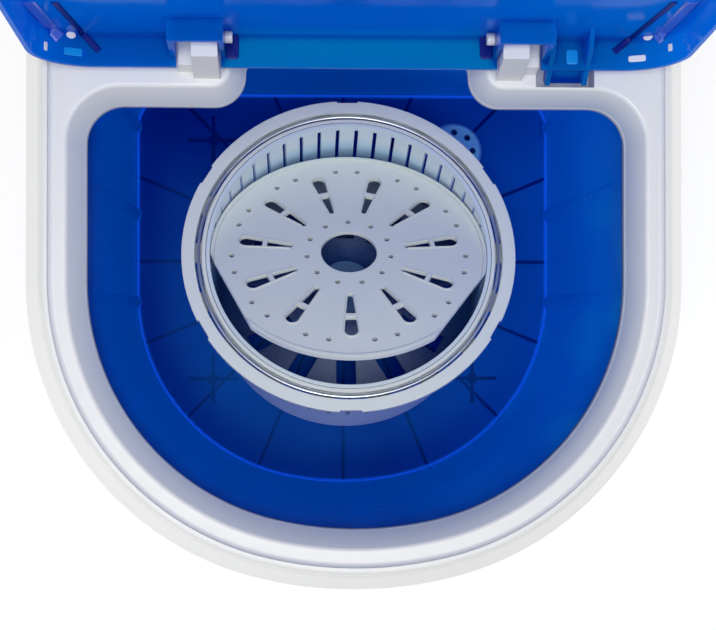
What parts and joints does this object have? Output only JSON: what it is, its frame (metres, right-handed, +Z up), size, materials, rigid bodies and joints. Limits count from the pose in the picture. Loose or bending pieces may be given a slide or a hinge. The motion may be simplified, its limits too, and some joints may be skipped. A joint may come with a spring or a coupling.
{
  "type": "compact top-loading washing machine",
  "caption": "Small top-loading washer: clear blue tub on a white base, white collar with a hinged blue lid, lift-out spin basket with slotted wall, wire hoop and a pierced tilting cover.",
  "frame": {"origin": "on the floor, under the middle of the collar's outline", "axes": "+Z up, -Y towards the front with the two knobs, +X to the right of someone facing the front"},
  "size_m": [0.356, 0.34, 0.7548],
  "materials": {
    "shell_white": "smooth moulded",
    "tub_blue": "clear tinted",
    "lid_blue": "clear tinted",
    "basket_white": "smooth moulded",
    "knob_white": "satin",
    "pulsator_white": "smooth moulded",
    "filter_blue": "smooth moulded",
    "steel": "zinc plated",
    "rubber": "matte",
    "bronze": "sintered",
    "pulley_alloy": "as cast",
    "housing_plastic": "matte",
    "motor_paint": "satin"
  },
  "bodies": {
    "cabinet": {"base_housing": "shell_white", "bottom_plate": "shell_white", "rubber_feet": "rubber", "plate_screws": "steel", "tub": "tub_blue", "tub_gasket": "rubber", "top_collar": "shell_white", "hinge_pins": "shell_white", "bearing_housing": "housing_plastic", "lower_bush": "bronze", "upper_bush": "bronze", "shaft_seal": "rubber", "motor_body": "motor_paint", "motor_bracket": "motor_paint", "bracket_screws": "steel", "motor_bolts": "steel", "drive_belt": "rubber", "run_capacitor": "housing_plastic", "capacitor_clip": "steel", "timer_body": "housing_plastic", "selector_body": "housing_plastic", "drain_elbow": "housing_plastic", "drain_filter": "filter_blue", "cord_gland": "rubber"},
    "lid": {"lid_shell": "lid_blue"},
    "spinner": {"drive_shaft": "steel", "drive_pulley": "pulley_alloy", "pulley_nut": "steel", "pulsator": "pulsator_white", "pulsator_screw": "steel"},
    "basket": {"spin_basket": "basket_white", "basket_ring": "basket_white", "balance_hoop": "steel"},
    "cover": {"basket_cover": "basket_white"},
    "rotor": {"motor_shaft": "steel", "motor_pulley": "pulley_alloy"},
    "timer": {"timer_shaft": "steel", "timer_knob": "knob_white"},
    "selector": {"selector_shaft": "steel", "selector_knob": "knob_white"}
  },
  "joints": [
    {"name": "lid_hinge", "type": "hinge", "parent": "cabinet", "child": "lid", "pos_m": [0, 0.1205, 0.4675], "axis": [-1, 0, 0], "range_deg": [-96, 0]},
    {"name": "spin", "type": "hinge", "parent": "cabinet", "child": "spinner", "pos_m": [0, 0.0185, 0.1], "axis": [0, 0, 1], "continuous": true},
    {"name": "basket_lift", "type": "slide", "parent": "spinner", "child": "basket", "axis": [0, 0, 1], "range_m": [0, 0.07]},
    {"name": "cover_tilt", "type": "hinge", "parent": "basket", "child": "cover", "pos_m": [0, 0.01852, 0.30557], "axis": [1, 0, 0], "range_deg": [-14, 22.1]},
    {"name": "rotor_spin", "type": "hinge", "parent": "cabinet", "child": "rotor", "pos_m": [-0.085, -0.0415, 0.1], "axis": [0, 0, 1], "continuous": true},
    {"name": "timer_turn", "type": "hinge", "parent": "cabinet", "child": "timer", "pos_m": [0.048, -0.1534, 0.092], "axis": [0, -1, 0], "range_deg": [0, 300]},
    {"name": "selector_turn", "type": "hinge", "parent": "cabinet", "child": "selector", "pos_m": [-0.048, -0.1534, 0.092], "axis": [0, -1, 0], "range_deg": [0, 120]}
  ],
  "couplings": [
    {"joint": "rotor_spin", "follows": "spin", "ratio": 5.6053}
  ]
}
